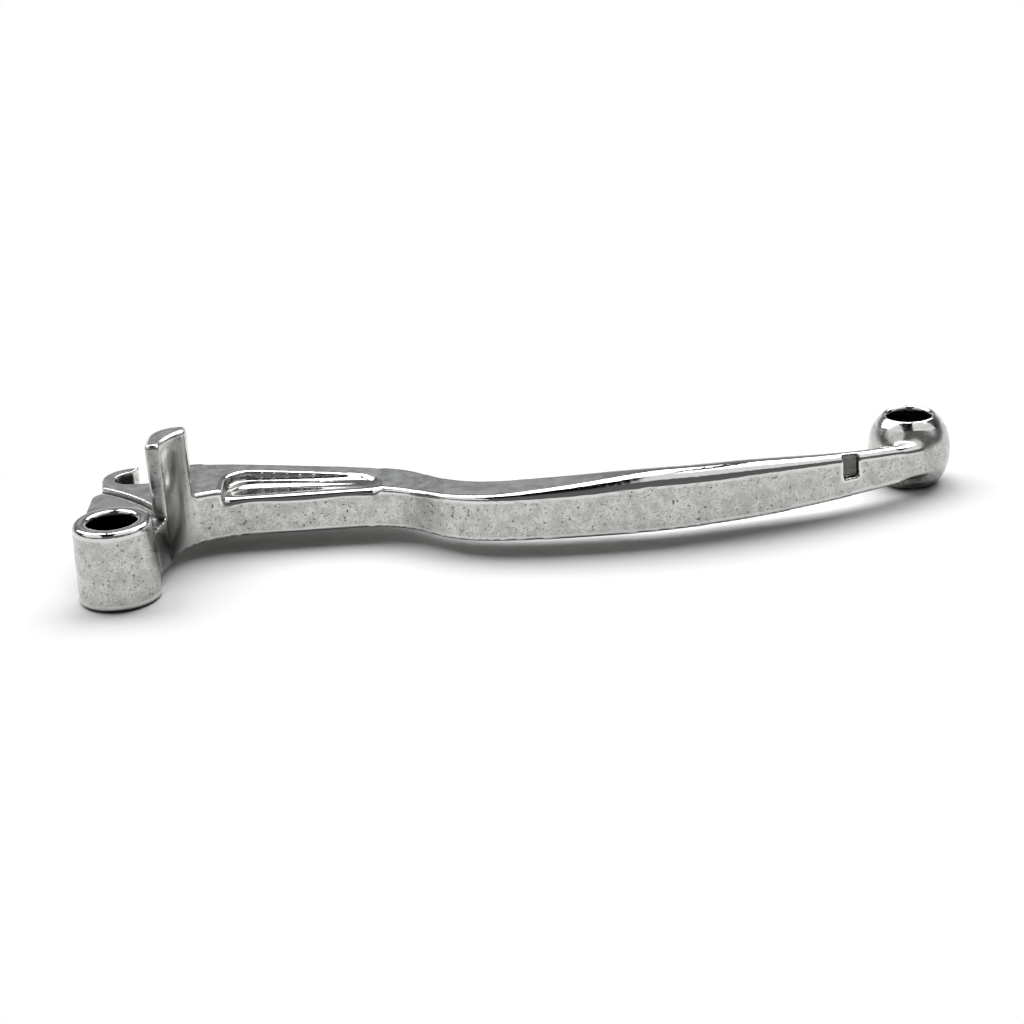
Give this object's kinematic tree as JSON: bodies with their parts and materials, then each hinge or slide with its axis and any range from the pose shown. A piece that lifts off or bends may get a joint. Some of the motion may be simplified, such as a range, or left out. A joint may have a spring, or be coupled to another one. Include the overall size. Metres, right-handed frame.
{
  "type": "motorcycle clutch lever",
  "caption": "Cast aluminium clutch lever with a pivot boss, a hook for the cable barrel, a switch tab, a dog-leg arm and a curved blade that ends in a drilled ball.",
  "frame": {"origin": "centre of the pivot bore at the foot of the pivot boss, on the level that the lever rests on", "axes": "+Z along the pivot bore, up through the boss and the switch tab; +X out along the arm and blade to the ball end; -Y is the flat side that faces the handlebar"},
  "size_m": [0.1835, 0.0526, 0.0287],
  "materials": {
    "casting": "tumbled satin with bright worn edges"
  },
  "bodies": {
    "root": {"clutch_lever": "casting"}
  },
  "joints": []
}
